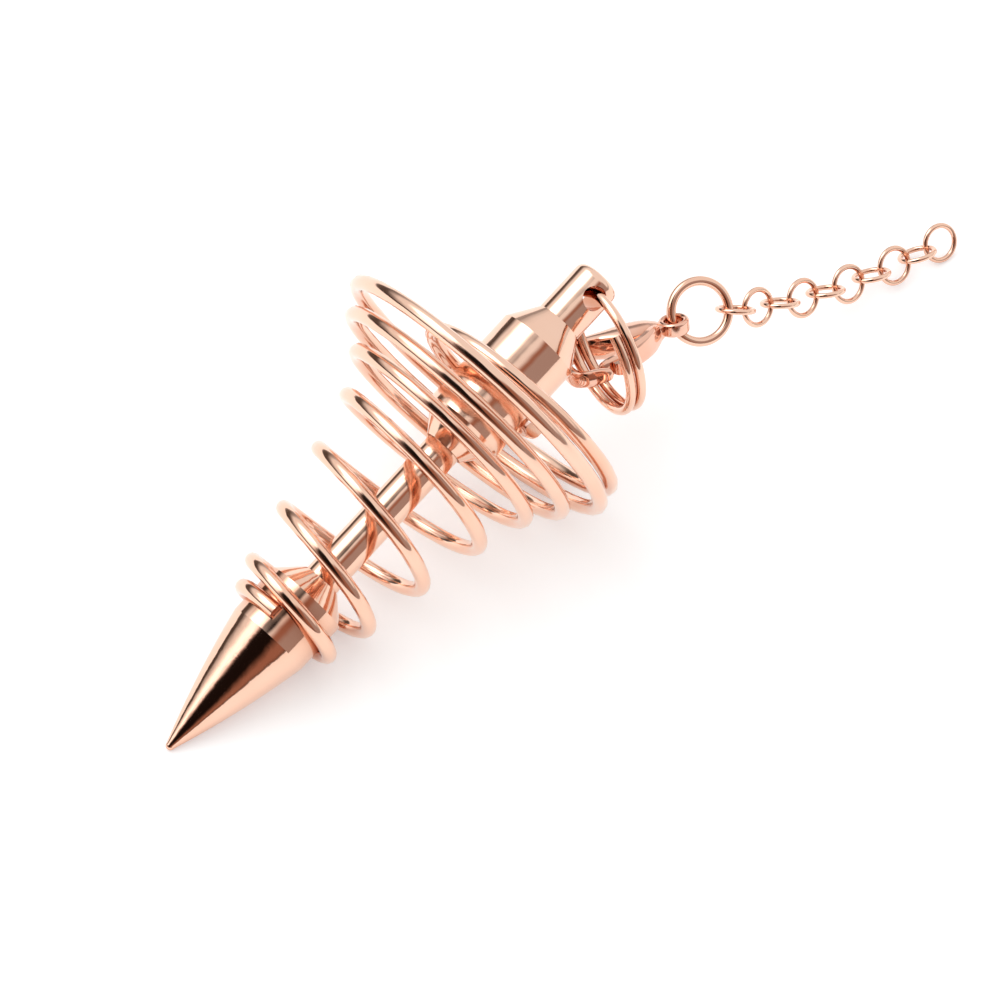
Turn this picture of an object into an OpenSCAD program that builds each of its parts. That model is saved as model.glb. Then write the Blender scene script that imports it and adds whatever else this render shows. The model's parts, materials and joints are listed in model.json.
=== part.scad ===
// Spiral pendulum pendant lying on a table, with its split ring, lobster clasp, jump ring and a length of chain.
// Millimetres, +Z up. The pendant lies along +X, from its point to its cap, and the table is at z = 0.

/* [Point] */
// Radius of the rounded tip
tip_r = 0.45; // [0.3:0.05:0.8]
// Length of the tapered part, from the very tip to the barrel
taper_length = 13.8; // [10:0.1:18]
// Outward bow of the taper at its middle
taper_bow = 0.25; // [0.05:0.05:0.6]
// Diameter of the point's barrel
point_d = 8.35; // [6.5:0.05:10]
// Length of the point's barrel
point_barrel_length = 5.2; // [4:0.1:8]
// Length of the slope from the barrel to the stem
point_slope_length = 2.1; // [1:0.1:4]

/* [Stem] */
// Diameter of the stem
stem_d = 3.66; // [3:0.02:4.6]
// Length of stem that shows between the point and the cap
stem_length = 16.9; // [12:0.1:24]
// Depth of each blind socket that holds an end of the stem
socket_depth = 4.5; // [3:0.1:6]
// Width of the flat rim round the mouth of each socket
socket_rim = 0.15; // [0.1:0.01:0.4]
// Gap round the stem in its sockets, and at its ends
seat_gap = 0.05; // [0.02:0.01:0.1]

/* [Cap] */
// Diameter of the cap's barrel
cap_d = 8.3; // [6.5:0.05:10]
// Length of the slope from the stem to the cap's barrel
cap_slope_length = 2.8; // [1.5:0.1:4]
// Length of the cap's barrel
cap_barrel_length = 10.4; // [8:0.1:14]
// Length of the slope from the barrel to the tab
tab_slope_length = 2.9; // [1.5:0.1:4]
// Diameter of the tab that carries the split ring
tab_d = 4.7; // [4.2:0.05:6]
// Length of the tab
tab_length = 5.85; // [5:0.05:8]
// Rounding of the tab's end
tab_round = 0.8; // [0.3:0.05:1.2]
// Diameter of the cross hole in the tab
hole_d = 2.4; // [2.2:0.05:2.8]
// Distance from the tab's end to the middle of the hole
hole_inset = 2.2; // [1.9:0.05:2.6]
// Turn of the hole about the cap's length, up from level
hole_turn = 38; // [20:1:60]

/* [Coil] */
// Wire diameter of the coil
coil_wire_d = 1.5; // [1:0.05:2]
// Outer diameter of the coil at its widest turn
coil_d = 34; // [28:0.5:42]
// Height of the coil's first turn above the lower edge of the point's barrel
coil_start = 2.0; // [1.2:0.1:3.5]
// Height of the coil's top turn above the lower edge of the cap's barrel
coil_top = 5.2; // [3:0.1:8]
// Gap between the coil and the barrel that it winds round
coil_gap = 0.08; // [0.05:0.01:0.3]

/* [Split ring] */
// Wire diameter of the split ring
split_wire_d = 1.0; // [0.8:0.02:1.1]
// Diameter of the split ring, to the middle of its wire
split_d = 12.1; // [11:0.1:13]
// Gap between the split ring's two turns
split_gap = 0.1; // [0.05:0.01:0.2]
// Height of the ring's wire above the middle of the tab's hole
split_lift = 0.35; // [0.1:0.05:0.5]
// Plan angle of the split ring's face, from +X
split_heading = -14.5; // [-20:0.5:-9]
// Swing of the split ring about the hole, from hanging straight down
split_swing = 37; // [33:0.5:41]

/* [Clasp] */
// Length of the clasp's body from the middle of its eye to the far side of its hook
clasp_length = 13.2; // [12.6:0.1:14.4]
// Width of the clasp across the hook
clasp_width = 7; // [6.8:0.1:7.8]
// Thickness of the clasp's body
clasp_thickness = 2.8; // [2.4:0.05:3]
// Half width of the widest part of the clasp's arm
clasp_arm = 1.6; // [1.4:0.05:1.7]
// Diameter of the clasp's eye, to the middle of its wall
eye_d = 2.4; // [2.38:0.02:2.6]
// Wall of the clasp's eye
eye_wall = 0.62; // [0.5:0.02:0.64]
// Thickness of the clasp's eye
eye_thickness = 1.4; // [1:0.05:1.45]
// Diameter of the lever's hinge pin
pin_d = 0.56; // [0.4:0.02:0.7]
// Gap round the hinge pin and beside the lever
hinge_gap = 0.08; // [0.05:0.01:0.1]
// Thickness of the lever's hinge barrel
lever_thickness = 1.2; // [0.9:0.05:1.3]
// Wall of the lever's hinge barrel
lever_wall = 0.2; // [0.16:0.01:0.26]
// Width of the lever
lever_width = 0.84; // [0.7:0.02:0.95]
// Radius of the lever's thumb piece
thumb_r = 0.75; // [0.6:0.05:0.9]

/* [Jump ring and chain] */
// Wire diameter of the jump ring
jump_wire_d = 0.94; // [0.8:0.02:0.96]
// Diameter of the jump ring, to the middle of its wire
jump_d = 5.9; // [5.5:0.1:6.4]
// Wire diameter of a chain link
link_wire_d = 0.54; // [0.4:0.02:0.64]
// Diameter of a chain link, to the middle of its wire
link_d = 3.5; // [3:0.05:4]
// Gap between two wires that are hooked together
link_gap = 0.08; // [0.05:0.01:0.2]
// Number of chain links
link_count = 10; // [3:1:14]

/* [View] */
// Piece to show

/* [Hidden] */
$fn = 64;
ROSE = [0.86, 0.6, 0.52];
ROSE_DARK = [0.7, 0.42, 0.34];
ROSE_PALE = [0.93, 0.74, 0.66];

// Heights along the pendant, from the very tip
point_end = taper_length + point_barrel_length + point_slope_length;
cap_base = point_end + stem_length;
cap_barrel_base = cap_base + cap_slope_length;
cap_barrel_end = cap_barrel_base + cap_barrel_length;
tab_base = cap_barrel_end + tab_slope_length;
tab_end = tab_base + tab_length;
hole_height = tab_end - hole_inset;
socket_r = stem_d / 2 + seat_gap;

// Coil: one row per half turn, going up. Columns: height share from the first turn to the top turn,
// and radius share from the barrel to the widest turn.
COIL_ROWS = [
    [0.00, 0.00], [0.02, 0.015], [0.08, 0.09], [0.16, 0.105], [0.264, 0.195], [0.367, 0.20],
    [0.473, 0.315], [0.58, 0.32], [0.655, 0.445], [0.738, 0.45], [0.775, 0.63], [0.834, 0.63],
    [0.852, 0.86], [0.926, 0.83], [0.931, 1.0], [1.00, 0.79], [0.975, 0.26], [0.968, 0.01], [0.97, 0.0]
];
COIL_START = -0.42;
COIL_END = 17;
COIL_ANGLE = 154;
COIL_STEPS = 18;
COIL_SIDES = 12;
coil_low_point = point_d / 2 + coil_gap + coil_wire_d / 2;
coil_low_cap = cap_d / 2 + coil_gap + coil_wire_d / 2;
coil_high = coil_d / 2 - coil_wire_d / 2;
coil_base = taper_length + coil_start;
coil_rise = cap_barrel_base + coil_top - coil_base;

// The pendant's rise is looked for in this range of degrees, in this many halvings.
RISE_RANGE = [5, 40];
RISE_TRIES = 18;

// Clasp, seen from above with its eye at the origin and its hook along +X.
// Columns: share of the length, share of the width, share of the arm's half width, share of the thickness.
BODY_ROWS = [
    [0.091, 0.014, 0.31, 0.39], [0.136, 0.014, 0.50, 0.71], [0.212, 0.000, 0.84, 0.93],
    [0.303, -0.029, 1.00, 1.00], [0.417, -0.071, 0.97, 1.00], [0.530, -0.121, 0.72, 0.96],
    [0.629, -0.186, 0.53, 0.89], [0.720, -0.214, 0.41, 0.82], [0.814, -0.203, 0.34, 0.79],
    [0.894, -0.079, 0.31, 0.71], [0.936, 0.143, 0.31, 0.68], [0.958, 0.371, 0.31, 0.64],
    [0.951, 0.529, 0.31, 0.61], [0.894, 0.621, 0.31, 0.57], [0.811, 0.657, 0.31, 0.54],
    [0.750, 0.686, 0.30, 0.46], [0.720, 0.696, 0.24, 0.36], [0.705, 0.700, 0.07, 0.11]
];
STUB_ROWS = [
    [0.174, 0.086, 0.34, 0.79], [0.242, 0.186, 0.37, 0.93], [0.318, 0.286, 0.37, 0.93],
    [0.394, 0.357, 0.37, 0.93], [0.485, 0.421, 0.37, 0.93]
];
// Lever: the same first two columns, then shares of the lever's half width and of the clasp's thickness.
LEVER_ROWS = [
    [0.515, 0.436, 0.86, 0.41], [0.561, 0.457, 1.00, 0.42], [0.591, 0.471, 1.00, 0.64],
    [0.682, 0.507, 1.00, 0.64], [0.742, 0.529, 0.90, 0.54], [0.773, 0.536, 0.60, 0.32],
    [0.784, 0.537, 0.19, 0.10]
];
HINGE_ROW = [0.485, 0.421];
THUMB_ROW = [0.610, 0.590];
ARM_STEPS = 3;
ARM_SIDES = 16;
ARM_SQUARENESS = 3;
hinge = [HINGE_ROW[0] * clasp_length, HINGE_ROW[1] * clasp_width];
thumb = [THUMB_ROW[0] * clasp_length, THUMB_ROW[1] * clasp_width];
barrel_r = pin_d / 2 + hinge_gap + lever_wall;
cheek_r = STUB_ROWS[4][2] * clasp_arm;

// Split ring: the two turns lie side by side and change over inside the tab's hole.
SPLIT_START = 320;
SPLIT_END = -294;
SPLIT_CHANGE = 24;
SPLIT_STEPS = 82;
SPLIT_SIDES = 12;
split_offset = (split_wire_d + split_gap) / 2;

// Place of the split ring in the clasp's hook: turn along the ring from its top,
// and shares of the clasp's length and width.
HOOKED_TURN = 249.5;
HOOKED_ROW = [0.769, 0.064];

// Route of the clasp and the chain
CLASP_HEADING = 162.5;
CLASP_SLOPE = 4.6;
CLASP_ROLL = 26;
JUMP_HEADING = -14;
JUMP_SLOPE = -5;
JUMP_ROLL = 43;
// Turn along the jump ring to the place where the first link hangs on it
JUMP_EXIT = -25;
CHAIN_HEADING_START = -15;
CHAIN_HEADING_END = -10.5;
CHAIN_END_FALL = 0.04;
CHAIN_ROLL = 55;

// General functions
function spline(a, b, c, d, t) =
    0.5 * (2 * b + (c - a) * t + (2 * a - 5 * b + 4 * c - d) * t * t + (3 * b - a - 3 * c + d) * t * t * t);
function row_at(rows, i) = rows[max(0, min(len(rows) - 1, i))];
function between(rows, x) =
    let(i = max(0, min(len(rows) - 2, floor(x))), t = x - i)
    spline(row_at(rows, i - 1), rows[i], rows[i + 1], row_at(rows, i + 2), max(t, 0));
function unit(v) = v / norm(v);
function ring_faces(count, sides) = concat(
    [[for (j = [sides - 1 : -1 : 0]) j]],
    [for (i = [0 : count - 2], j = [0 : sides - 1])
        let(k = (j + 1) % sides) [i * sides + j, (i + 1) * sides + k, (i + 1) * sides + j]],
    [for (i = [0 : count - 2], j = [0 : sides - 1])
        let(k = (j + 1) % sides) [i * sides + j, i * sides + k, (i + 1) * sides + k]],
    [[for (j = [0 : sides - 1]) (count - 1) * sides + j]]
);

// Coil in the pendant's own frame: the length is Z, X points up and Y to the pendant's right.
function coil_angle(x) = COIL_ANGLE + 180 * x;
function coil_height(x) = coil_base + coil_rise * between(COIL_ROWS, x)[0];
function coil_low(x) = coil_low_point + (coil_low_cap - coil_low_point) * between(COIL_ROWS, x)[0];
function coil_radius(x) = coil_low(x) + (coil_high - coil_low(x)) * between(COIL_ROWS, x)[1];
function coil_place(x) =
    let(a = 90 - coil_angle(x), r = coil_radius(x)) [r * cos(a), r * sin(a), coil_height(x)];
coil_count = round((COIL_END - COIL_START) * COIL_STEPS);
function coil_x(i) = COIL_START + (COIL_END - COIL_START) * i / coil_count;
function coil_section(i) =
    let(x = coil_x(i),
        at = coil_place(x),
        along = unit(coil_place(x + 0.01) - coil_place(x - 0.01)),
        side = unit(cross(along, [0, 0, 1])),
        up = cross(side, along))
    [for (j = [0 : COIL_SIDES - 1])
        let(b = 360 * (j + 0.5) / COIL_SIDES)
        at + coil_wire_d / 2 * (cos(b) * side + sin(b) * up)];

// The pendant rests on its tip and on the lowest turn of the coil.
function coil_clear(rise, x) =
    tip_r + (coil_height(x) - tip_r) * sin(rise)
    + coil_radius(x) * sin(coil_angle(x)) * cos(rise) - coil_wire_d / 2;
function coil_lowest(rise) = min([for (i = [0 : coil_count]) coil_clear(rise, coil_x(i))]);
function find_rise(low, high, tries) =
    tries == 0 ? (low + high) / 2 :
    let(middle = (low + high) / 2)
    coil_lowest(middle) < 0 ? find_rise(middle, high, tries - 1) : find_rise(low, middle, tries - 1);
rise = find_rise(RISE_RANGE[0], RISE_RANGE[1], RISE_TRIES);

// Places in the row's directions, measured from the very tip's resting place
hole_at = [(hole_height - tip_r) * cos(rise), 0, tip_r + (hole_height - tip_r) * sin(rise)];

// Split ring: its face points to split_side, its top to split_up.
split_side = [cos(split_heading), sin(split_heading), 0];
split_level = [sin(split_heading), -cos(split_heading), 0];
split_up = cos(split_swing) * [0, 0, 1] - sin(split_swing) * split_level;
split_ahead = cross(split_side, split_up);
split_at = hole_at - (split_d / 2 - split_lift) * split_up;
function split_outward(a) = cos(a) * split_up + sin(a) * split_ahead;

// Clasp: hung on the split ring by a point inside its hook
function heading(turn, slope) = [cos(turn) * cos(slope), sin(turn) * cos(slope), -sin(slope)];
clasp_ahead = heading(CLASP_HEADING, -CLASP_SLOPE);
clasp_level = [-sin(CLASP_HEADING), cos(CLASP_HEADING), 0];
clasp_side = cos(CLASP_ROLL) * clasp_level + sin(CLASP_ROLL) * cross(clasp_ahead, clasp_level);
eye_at = split_at + split_d / 2 * split_outward(HOOKED_TURN)
    - HOOKED_ROW[0] * clasp_length * clasp_ahead - HOOKED_ROW[1] * clasp_width * clasp_side;

// Jump ring: through the eye at one side and through the first link at another
jump_ahead = heading(JUMP_HEADING, JUMP_SLOPE);
jump_level = [-sin(JUMP_HEADING), cos(JUMP_HEADING), 0];
jump_side = cos(JUMP_ROLL) * jump_level + sin(JUMP_ROLL) * cross(jump_ahead, jump_level);
jump_at = eye_at + jump_d / 2 * jump_ahead;
chain_from = jump_at + jump_d / 2 * (cos(JUMP_EXIT) * jump_ahead + sin(JUMP_EXIT) * jump_side);

// Chain: steps from the jump ring's wire to the last link, which rests on the table
first_step = link_d / 2 - (jump_wire_d + link_wire_d) / 2 - link_gap;
link_step = link_d - link_wire_d - link_gap;
function step_length(i) = i == 0 ? first_step : link_step;
function tail_share(i) = 1 - i / (link_count - 1);
function sum_to(i, weights) = i < 0 ? 0 : weights[i] + sum_to(i - 1, weights);
link_rest = link_d / 2 * sin(link_count % 2 == 0 ? CHAIN_ROLL : 90 - CHAIN_ROLL) + link_wire_d / 2;
chain_fall = chain_from[2] - link_rest;
chain_length = first_step + link_step * (link_count - 1);
chain_weight = sum_to(link_count - 1, [for (i = [0 : link_count - 1]) step_length(i) * tail_share(i)]);
start_fall = (chain_fall - CHAIN_END_FALL * chain_length) / chain_weight;
function link_slope(i) = asin(CHAIN_END_FALL + start_fall * tail_share(i));
function link_heading(i) = CHAIN_HEADING_END + (CHAIN_HEADING_START - CHAIN_HEADING_END) * tail_share(i);
function link_at(i) =
    i < 0 ? chain_from : link_at(i - 1) + step_length(i) * heading(link_heading(i), link_slope(i));
function link_roll(i) = i % 2 == 0 ? CHAIN_ROLL - 90 : CHAIN_ROLL;

// The row's origin is the middle of the whole part, on the table.
function link_reach(i) =
    let(turn = link_heading(i), slope = link_slope(i), roll = link_roll(i),
        face = sin(slope) * cos(turn) * cos(roll) + sin(turn) * sin(roll))
    link_at(i)[0] + link_d / 2 * sqrt(1 - face * face) + link_wire_d / 2;
x_low = -tip_r;
x_high = link_reach(link_count - 1);
coil_sides = [for (i = [0 : coil_count]) -coil_radius(coil_x(i)) * cos(coil_angle(coil_x(i)))];
y_low = min(coil_sides) - coil_wire_d / 2;
y_high = max(coil_sides) + coil_wire_d / 2;
origin = [(x_low + x_high) / 2, (y_low + y_high) / 2, 0];

// Places the children from the pendant's own frame, with the very tip at its origin and its length along Z.
module on_pendant() {
    translate([0, 0, tip_r] - origin)
        rotate([0, 90 - rise, 0])
            rotate([0, 0, 180])
                translate([0, 0, -tip_r])
                    children();
}

// Places the children at a point of the chain, with X along it and Z square to the piece's face.
module on_route(at, turn, slope, roll) {
    translate(at - origin)
        rotate([0, 0, turn])
            rotate([0, slope, 0])
                rotate([roll, 0, 0])
                    children();
}

module torus(d, wire) {
    rotate_extrude()
        translate([d / 2, 0])
            circle(d = wire);
}

// A bar along a table of rows, with a rounded-off square section.
module bar(rows, half_width) {
    count = (len(rows) - 1) * ARM_STEPS + 1;
    stations = [for (i = [0 : count - 1])
        let(x = i / ARM_STEPS, row = between(rows, x),
            ahead = between(rows, x + 0.02) - between(rows, x - 0.02))
        [row[0] * clasp_length, row[1] * clasp_width, row[2] * half_width, row[3] * clasp_thickness / 2,
            ahead[0] * clasp_length, ahead[1] * clasp_width]];
    function squared(c) = sign(c) * pow(abs(c), 2 / ARM_SQUARENESS);
    points = [for (s = stations, j = [0 : ARM_SIDES - 1])
        let(side = unit([s[5], -s[4]]), b = 360 * (j + 0.5) / ARM_SIDES)
        [s[0] + side[0] * s[2] * squared(cos(b)), s[1] + side[1] * s[2] * squared(cos(b)),
            s[3] * squared(sin(b))]];
    polyhedron(points, ring_faces(count, ARM_SIDES));
}

module point() {
    barrel_r = point_d / 2;
    // The taper is a flat arc through the tip's ball and the barrel's lower edge.
    run = taper_length - tip_r;
    grow = barrel_r - tip_r;
    chord = norm([run, grow]);
    bow_r = chord * chord / (8 * taper_bow) + taper_bow / 2;
    middle = [(tip_r + barrel_r) / 2, (tip_r + taper_length) / 2];
    bow_centre = middle - (bow_r - taper_bow) * [run, -grow] / chord;
    color(ROSE)
        on_pendant()
            rotate_extrude() {
                intersection() {
                    translate(bow_centre)
                        circle(r = bow_r, $fn = 720);
                    polygon([[0, tip_r], [barrel_r, tip_r], [barrel_r, taper_length], [0, taper_length]]);
                }
                intersection() {
                    translate([0, tip_r])
                        circle(r = tip_r);
                    square([tip_r, 2 * tip_r]);
                }
                difference() {
                    polygon([[0, taper_length], [barrel_r, taper_length],
                        [barrel_r, taper_length + point_barrel_length],
                        [socket_r + socket_rim, point_end], [0, point_end]]);
                    translate([0, point_end - socket_depth])
                        square([socket_r, socket_depth + 1]);
                }
            }
}

module stem() {
    color(ROSE_DARK)
        on_pendant()
            translate([0, 0, point_end - socket_depth + seat_gap])
                cylinder(d = stem_d, h = stem_length + 2 * socket_depth - 2 * seat_gap);
}

module cap() {
    barrel_r = cap_d / 2;
    color(ROSE)
        on_pendant()
            difference() {
                rotate_extrude() {
                    polygon([[0, cap_base], [socket_r + socket_rim, cap_base], [barrel_r, cap_barrel_base],
                        [barrel_r, cap_barrel_end], [tab_d / 2, tab_base],
                        [tab_d / 2, tab_end - tab_round], [tab_d / 2 - tab_round, tab_end - tab_round],
                        [tab_d / 2 - tab_round, tab_end], [0, tab_end]]);
                    translate([tab_d / 2 - tab_round, tab_end - tab_round])
                        circle(r = tab_round);
                }
                translate([0, 0, cap_base - 1])
                    cylinder(r = socket_r, h = socket_depth + 1);
                translate([0, 0, hole_height])
                    rotate([0, 0, 90 - hole_turn])
                        rotate([0, 90, 0])
                            cylinder(d = hole_d, h = tab_d + 2, center = true);
            }
}

module coil() {
    points = [for (i = [0 : coil_count]) each coil_section(i)];
    color(ROSE_PALE)
        on_pendant()
            polyhedron(points, ring_faces(coil_count + 1, COIL_SIDES));
}

module split_ring() {
    function share(a) = min(1, max(-1, a / SPLIT_CHANGE));
    function place(a) =
        split_at + split_d / 2 * split_outward(a) + split_offset * sin(90 * share(a)) * split_side;
    function section(i) =
        let(a = SPLIT_START + (SPLIT_END - SPLIT_START) * i / SPLIT_STEPS,
            along = unit(place(a - 0.1) - place(a + 0.1)),
            across = unit(cross(split_outward(a), along)))
        [for (j = [0 : SPLIT_SIDES - 1])
            let(b = 360 * (j + 0.5) / SPLIT_SIDES)
            place(a) + split_wire_d / 2 * (cos(b) * cross(along, across) + sin(b) * across)];
    points = [for (i = [0 : SPLIT_STEPS]) each section(i)];
    color(ROSE)
        translate(-origin)
            polyhedron(points, ring_faces(SPLIT_STEPS + 1, SPLIT_SIDES));
}

module on_clasp() {
    on_route(eye_at, CLASP_HEADING, -CLASP_SLOPE, CLASP_ROLL)
        children();
}

module clasp_body() {
    slot = lever_thickness + 2 * hinge_gap;
    color(ROSE_PALE)
        on_clasp() {
            difference() {
                union() {
                    bar(BODY_ROWS, clasp_arm);
                    bar(STUB_ROWS, clasp_arm);
                    translate([hinge[0], hinge[1], -clasp_thickness / 2])
                        cylinder(r = cheek_r, h = clasp_thickness);
                }
                translate([hinge[0], hinge[1], -slot / 2])
                    cylinder(r = barrel_r + hinge_gap, h = slot);
                translate([hinge[0], hinge[1] - cheek_r - 1, -slot / 2])
                    cube([cheek_r + 1, 2 * cheek_r + 2, slot]);
            }
            translate([hinge[0], hinge[1], -slot])
                cylinder(d = pin_d, h = 2 * slot);
            rotate_extrude() {
                for (side = [-1, 1])
                    translate([eye_d / 2, side * (eye_thickness - eye_wall) / 2])
                        circle(d = eye_wall);
                translate([eye_d / 2, 0])
                    square([eye_wall, eye_thickness - eye_wall], center = true);
            }
        }
}

module clasp_lever() {
    color(ROSE_DARK)
        on_clasp()
            difference() {
                union() {
                    bar(LEVER_ROWS, lever_width / 2);
                    translate([hinge[0], hinge[1], -lever_thickness / 2])
                        cylinder(r = barrel_r, h = lever_thickness);
                    translate([thumb[0], thumb[1], -lever_thickness / 2])
                        cylinder(r = thumb_r, h = lever_thickness);
                }
                translate([hinge[0], hinge[1], -clasp_thickness])
                    cylinder(d = pin_d + 2 * hinge_gap, h = 2 * clasp_thickness);
            }
}

module jump_ring() {
    color(ROSE)
        on_route(jump_at, JUMP_HEADING, JUMP_SLOPE, JUMP_ROLL)
            torus(jump_d, jump_wire_d);
}

module chain_link(i) {
    color(i % 2 == 0 ? ROSE_PALE : ROSE_DARK)
        on_route(link_at(i), link_heading(i), link_slope(i), link_roll(i))
            torus(link_d, link_wire_d);
}

module chain_link_01() { chain_link(0); }
module chain_link_02() { chain_link(1); }
module chain_link_03() { chain_link(2); }
module chain_link_04() { chain_link(3); }
module chain_link_05() { chain_link(4); }
module chain_link_06() { chain_link(5); }
module chain_link_07() { chain_link(6); }
module chain_link_08() { chain_link(7); }
module chain_link_09() { chain_link(8); }
module chain_link_10() { chain_link(9); }

point();
stem();
cap();
coil();
split_ring();
clasp_body();
clasp_lever();
jump_ring();
chain_link_01();
chain_link_02();
chain_link_03();
chain_link_04();
chain_link_05();
chain_link_06();
chain_link_07();
chain_link_08();
chain_link_09();
chain_link_10();
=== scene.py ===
import json
import math

import bmesh
import bpy
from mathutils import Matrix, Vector

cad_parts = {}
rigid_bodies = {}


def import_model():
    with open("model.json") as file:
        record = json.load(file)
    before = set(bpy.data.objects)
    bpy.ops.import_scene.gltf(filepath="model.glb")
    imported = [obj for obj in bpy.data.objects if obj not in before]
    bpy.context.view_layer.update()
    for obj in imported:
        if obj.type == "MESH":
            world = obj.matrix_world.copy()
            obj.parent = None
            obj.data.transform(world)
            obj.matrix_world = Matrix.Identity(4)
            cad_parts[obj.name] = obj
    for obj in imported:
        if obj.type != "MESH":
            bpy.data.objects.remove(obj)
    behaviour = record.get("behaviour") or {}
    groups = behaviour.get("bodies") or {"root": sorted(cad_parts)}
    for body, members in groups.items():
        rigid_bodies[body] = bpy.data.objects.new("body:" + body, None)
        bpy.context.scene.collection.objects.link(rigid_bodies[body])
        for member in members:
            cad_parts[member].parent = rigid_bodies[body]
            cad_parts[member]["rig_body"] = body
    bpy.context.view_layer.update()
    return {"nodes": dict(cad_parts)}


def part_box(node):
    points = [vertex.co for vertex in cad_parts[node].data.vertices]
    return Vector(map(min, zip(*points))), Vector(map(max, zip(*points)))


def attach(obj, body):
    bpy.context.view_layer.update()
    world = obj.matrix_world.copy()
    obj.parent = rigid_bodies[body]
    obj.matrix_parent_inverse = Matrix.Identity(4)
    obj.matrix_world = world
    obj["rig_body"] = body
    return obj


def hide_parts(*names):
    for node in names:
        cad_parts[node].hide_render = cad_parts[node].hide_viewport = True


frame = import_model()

MM = 0.001

# Camera: the photograph's viewing angle, a long lens from above the table's front left.
# The place that it looks at is measured from the point's very tip.
LOOK_AT_MM = (38.91, -4.63, 6.0)
CAMERA_AZIMUTH = 225
CAMERA_ELEVATION = 53.5
CAMERA_DISTANCE_MM = 420
CAMERA_LENS = 159.95
SENSOR_WIDTH = 36
CLIP_START = 0.01

# Metal tones, pale and deep: the plating's, and the redder ones of the clasp.
# Noise scales are per metre.
ROSE_TONES = ((0.94, 0.63, 0.485), (0.92, 0.58, 0.43))
ROSE_PATCHES = 120
CLASP_TONES = ((0.93, 0.59, 0.46), (0.88, 0.5, 0.37))
CLASP_PATCHES = 250
PATCH_EDGES = (0.35, 0.65)
POLISH = (0.05, 0.12)
WAVE_SCALE = 500
WAVE_HEIGHT = 0.00003

# Painted shade: hollows, where metal reflects metal, are painted a deeper, redder tone in the base
# colour.
HOLLOW_SHADE_TONE = (0.62, 0.26, 0.15)
HOLLOW_REACH_MM = 2.5
HOLLOW_SAMPLES = 6
HOLLOW_OPEN = 0.9
HOLLOW_SHUT = 0.25

# Nodes whose faceted solids are replaced by smooth copies
CLASP = ("clasp_body", "clasp_lever")
FACETED = ("coil", "split_ring", *CLASP)
SMOOTH_ANGLE = 32
WELD = 1e-6

# Studio
WORLD_LIGHT = 0.93
FLOOR_SIZE = 4
FLOOR_COLOR = (0.75, 0.75, 0.75)
FLOOR_ROUGHNESS = 0.6
FLOOR_GLOW = 0.36
KEY_AZIMUTH = 120
KEY_ELEVATION = 50
KEY_DISTANCE = 0.7
KEY_SIZE = 0.7
KEY_POWER = 1.5

# Cards that the metal reflects: name, azimuths, elevations, distance, the share of the width
# that fades at each edge, colour and strength. A nearer card covers a farther one.
CARD_STEPS = 24
CARDS = (
    ("bright_top", (50, 165), (34, 89), 0.98, 0.42, (1, 1, 1), 4.2),
    ("horizon", (0, 360), (-2, 15), 0.96, 0.3, (1, 0.8, 0.7), 0.05),
    ("dark_back", (20, 150), (-6, 30), 0.95, 0.45, (1, 0.8, 0.7), 0.1),
    ("bright_flank", (122, 180), (14, 80), 0.945, 0.3, (1, 1, 1), 1.9),
    ("dark_front", (146, 302), (-4, 66), 0.94, 0.22, (1, 0.47, 0.32), 0.33),
    ("warm_side", (252, 304), (-6, 50), 0.93, 0.2, (1, 0.8, 0.75), 0.4),
    ("dark_core", (157, 240), (5, 87), 0.92, 0.25, (1, 0.6, 0.5), 0.01),
)


def direction(azimuth, elevation):
    """Unit vector to a place seen from the object, azimuth from +X toward +Y."""
    turn = math.radians(azimuth)
    rise = math.radians(elevation)
    return Vector((math.cos(turn) * math.cos(rise), math.sin(turn) * math.cos(rise), math.sin(rise)))


def aim(thing, target):
    thing.rotation_euler = (target - thing.location).to_track_quat("-Z", "Y").to_euler()


def put(name, data):
    """A new object with this data, in the scene."""
    thing = bpy.data.objects.new(name, data)
    bpy.context.scene.collection.objects.link(thing)
    return thing


def new_material(name):
    material = bpy.data.materials.new(name)
    material.use_nodes = True
    return material


def make_camera():
    data = bpy.data.cameras.new("camera")
    data.sensor_width = SENSOR_WIDTH
    data.lens = CAMERA_LENS
    data.clip_start = CLIP_START
    camera = put("camera", data)
    low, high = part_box("point")
    tip = Vector((low[0], (low[1] + high[1]) / 2, 0))
    target = tip + Vector(LOOK_AT_MM) * MM
    camera.location = target + direction(CAMERA_AZIMUTH, CAMERA_ELEVATION) * CAMERA_DISTANCE_MM * MM
    aim(camera, target)
    bpy.context.scene.camera = camera


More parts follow.
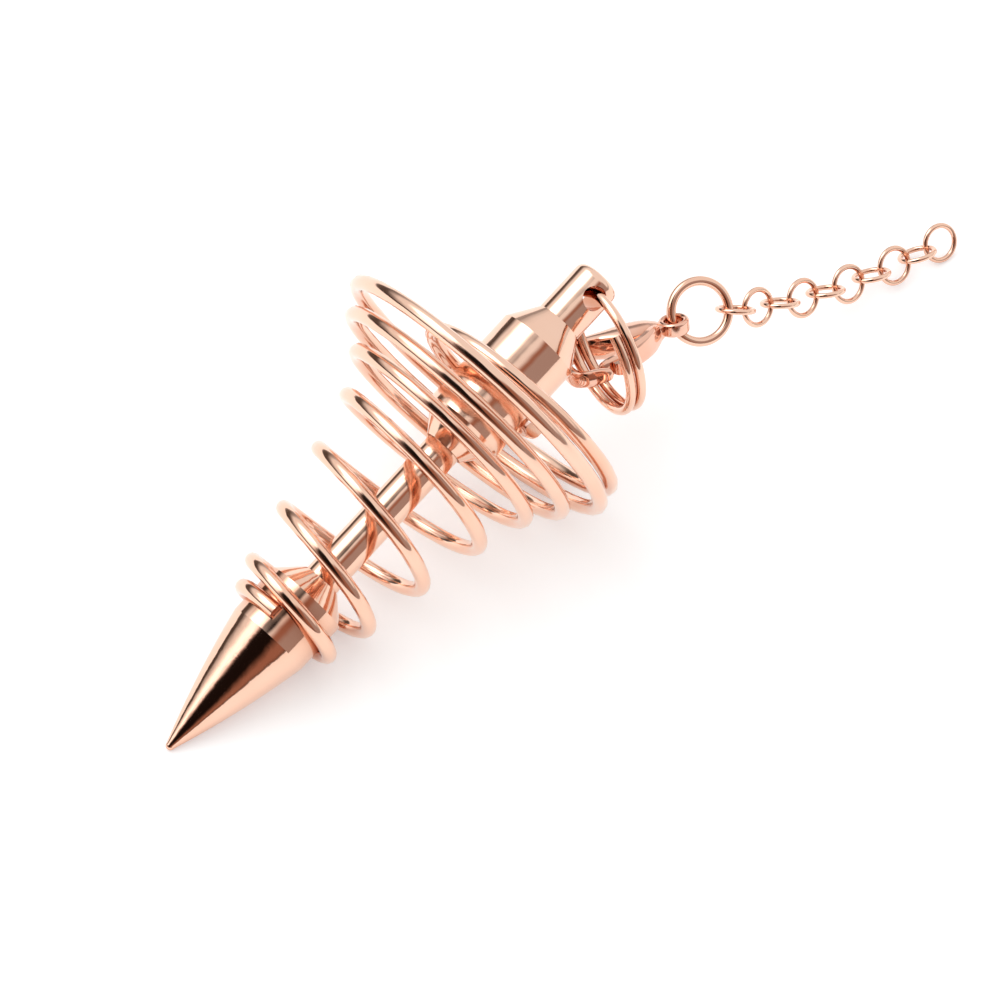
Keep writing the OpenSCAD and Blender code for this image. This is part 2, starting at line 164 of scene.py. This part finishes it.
def rose_gold(name, tones, tone_scale):
    """Mirror plating: two close tones in slow patches, a polish that varies a little,
    faint waves, and painted shade: a deeper tone in hollows."""
    material = new_material(name)
    nodes = material.node_tree.nodes
    links = material.node_tree.links
    shader = nodes["Principled BSDF"]
    shader.inputs["Metallic"].default_value = 1.0
    place = nodes.new("ShaderNodeTexCoord")
    patches = nodes.new("ShaderNodeTexNoise")
    patches.inputs["Scale"].default_value = tone_scale
    patches.inputs["Detail"].default_value = 2.0
    links.new(place.outputs["Object"], patches.inputs["Vector"])
    pale, deep = tones
    ramp = nodes.new("ShaderNodeValToRGB")
    for stop, position, tone in zip(ramp.color_ramp.elements, PATCH_EDGES, (deep, pale)):
        stop.position = position
        stop.color = (*tone, 1)
    links.new(patches.outputs["Fac"], ramp.inputs["Fac"])
    # Painted shade: ambient occlusion mixes the deeper hollow tone into the base colour.
    hollow = nodes.new("ShaderNodeAmbientOcclusion")
    hollow.samples = HOLLOW_SAMPLES
    hollow.inputs["Distance"].default_value = HOLLOW_REACH_MM * MM
    depth = nodes.new("ShaderNodeMapRange")
    depth.inputs["From Min"].default_value = HOLLOW_OPEN
    depth.inputs["From Max"].default_value = HOLLOW_SHUT
    links.new(hollow.outputs["AO"], depth.inputs["Value"])
    painted_hollow_shade = nodes.new("ShaderNodeMix")
    painted_hollow_shade.data_type = "RGBA"
    painted_hollow_shade.inputs["B"].default_value = (*HOLLOW_SHADE_TONE, 1)
    links.new(depth.outputs["Result"], painted_hollow_shade.inputs["Factor"])
    links.new(ramp.outputs["Color"], painted_hollow_shade.inputs["A"])
    links.new(painted_hollow_shade.outputs["Result"], shader.inputs["Base Color"])
    polish = nodes.new("ShaderNodeMapRange")
    polish.inputs["To Min"].default_value = POLISH[0]
    polish.inputs["To Max"].default_value = POLISH[1]
    links.new(patches.outputs["Fac"], polish.inputs["Value"])
    links.new(polish.outputs["Result"], shader.inputs["Roughness"])
    waves = nodes.new("ShaderNodeTexNoise")
    waves.inputs["Scale"].default_value = WAVE_SCALE
    waves.inputs["Detail"].default_value = 1.0
    links.new(place.outputs["Object"], waves.inputs["Vector"])
    bump = nodes.new("ShaderNodeBump")
    bump.inputs["Strength"].default_value = 1.0
    bump.inputs["Distance"].default_value = WAVE_HEIGHT
    links.new(waves.outputs["Fac"], bump.inputs["Height"])
    links.new(bump.outputs["Normal"], shader.inputs["Normal"])
    return material


def smooth_copy(node, material):
    """A piece that stands for a faceted node: the same form, with its round faces shaded smooth."""
    source = bpy.data.objects[node]
    mesh = source.data.copy()
    mesh.transform(source.matrix_world)
    work = bmesh.new()
    work.from_mesh(mesh)
    bmesh.ops.remove_doubles(work, verts=work.verts, dist=WELD)
    for face in work.faces:
        face.smooth = True
    for edge in work.edges:
        edge.smooth = edge.calc_face_angle(math.pi) < math.radians(SMOOTH_ANGLE)
    work.to_mesh(mesh)
    work.free()
    mesh.materials.clear()
    mesh.materials.append(material)
    return put(node + "_smooth", mesh)


def dress():
    plating = rose_gold("rose_gold", ROSE_TONES, ROSE_PATCHES)
    clasp_plating = rose_gold("clasp_gold", CLASP_TONES, CLASP_PATCHES)
    for name, node in frame["nodes"].items():
        metal = clasp_plating if name in CLASP else plating
        if name in FACETED:
            piece = smooth_copy(name, metal)
            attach(piece, node["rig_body"])
            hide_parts(name)
        else:
            node.data.materials.clear()
            node.data.materials.append(metal)


def card(name, azimuths, elevations, distance, fade, color, strength):
    """A piece of a globe round the object that only reflections see, fading out at its edges."""
    points = []
    shares = []
    for i in range(CARD_STEPS + 1):
        for j in range(CARD_STEPS + 1):
            across, up = i / CARD_STEPS, j / CARD_STEPS
            azimuth = azimuths[0] + (azimuths[1] - azimuths[0]) * across
            elevation = elevations[0] + (elevations[1] - elevations[0]) * up
            points.append(direction(azimuth, elevation) * distance)
            shares.append((across, up))
    row = CARD_STEPS + 1
    faces = [(i * row + j, i * row + j + 1, (i + 1) * row + j + 1, (i + 1) * row + j)
             for i in range(CARD_STEPS) for j in range(CARD_STEPS)]
    mesh = bpy.data.meshes.new(name)
    mesh.from_pydata(points, [], faces)
    layer = mesh.uv_layers.new(name="card")
    for loop in mesh.loops:
        layer.data[loop.index].uv = shares[loop.vertex_index]
    mesh.materials.append(card_glow(name, fade, color, strength))
    thing = put(name, mesh)
    thing.visible_camera = False
    thing.visible_diffuse = False
    thing.visible_shadow = False


def card_glow(name, fade, color, strength):
    """Glowing colour in a card's middle that turns clear towards all four edges."""
    material = new_material(name)
    nodes = material.node_tree.nodes
    links = material.node_tree.links
    nodes.remove(nodes["Principled BSDF"])
    place = nodes.new("ShaderNodeTexCoord")
    split = nodes.new("ShaderNodeSeparateXYZ")
    links.new(place.outputs["UV"], split.inputs["Vector"])
    both = nodes.new("ShaderNodeMath")
    both.operation = "MULTIPLY"
    for index, output in enumerate(("X", "Y")):
        arch = nodes.new("ShaderNodeMath")
        arch.operation = "PINGPONG"
        arch.inputs[1].default_value = 0.5
        links.new(split.outputs[output], arch.inputs[0])
        soft = nodes.new("ShaderNodeMapRange")
        soft.interpolation_type = "SMOOTHSTEP"
        soft.inputs["From Max"].default_value = fade
        links.new(arch.outputs["Value"], soft.inputs["Value"])
        links.new(soft.outputs["Result"], both.inputs[index])
    glow = nodes.new("ShaderNodeEmission")
    glow.inputs["Color"].default_value = (*color, 1)
    glow.inputs["Strength"].default_value = strength
    clear = nodes.new("ShaderNodeBsdfTransparent")
    cover = nodes.new("ShaderNodeMixShader")
    links.new(both.outputs["Value"], cover.inputs["Fac"])
    links.new(clear.outputs["BSDF"], cover.inputs[1])
    links.new(glow.outputs["Emission"], cover.inputs[2])
    links.new(cover.outputs["Shader"], nodes["Material Output"].inputs["Surface"])
    return material


def make_floor():
    bpy.ops.mesh.primitive_plane_add(size=FLOOR_SIZE, location=(0, 0, 0))
    floor = bpy.context.object
    floor.name = "floor"
    table = new_material("table")
    shader = table.node_tree.nodes["Principled BSDF"]
    shader.inputs["Base Color"].default_value = (*FLOOR_COLOR, 1)
    shader.inputs["Roughness"].default_value = FLOOR_ROUGHNESS
    shader.inputs["Emission Color"].default_value = (1, 1, 1, 1)
    shader.inputs["Emission Strength"].default_value = FLOOR_GLOW
    floor.data.materials.append(table)


def make_key_light():
    data = bpy.data.lights.new("key", "AREA")
    data.shape = "SQUARE"
    data.size = KEY_SIZE
    data.energy = KEY_POWER
    thing = put("key", data)
    thing.location = direction(KEY_AZIMUTH, KEY_ELEVATION) * KEY_DISTANCE
    aim(thing, Vector((0, 0, 0)))
    thing.visible_glossy = False


def make_world():
    world = bpy.data.worlds.new("studio")
    world.use_nodes = True
    background = world.node_tree.nodes["Background"]
    background.inputs["Color"].default_value = (1, 1, 1, 1)
    background.inputs["Strength"].default_value = WORLD_LIGHT
    bpy.context.scene.world = world


make_camera()
dress()
make_floor()
make_world()
make_key_light()
for row in CARDS:
    card(*row)
bpy.context.scene.view_settings.view_transform = "Standard"
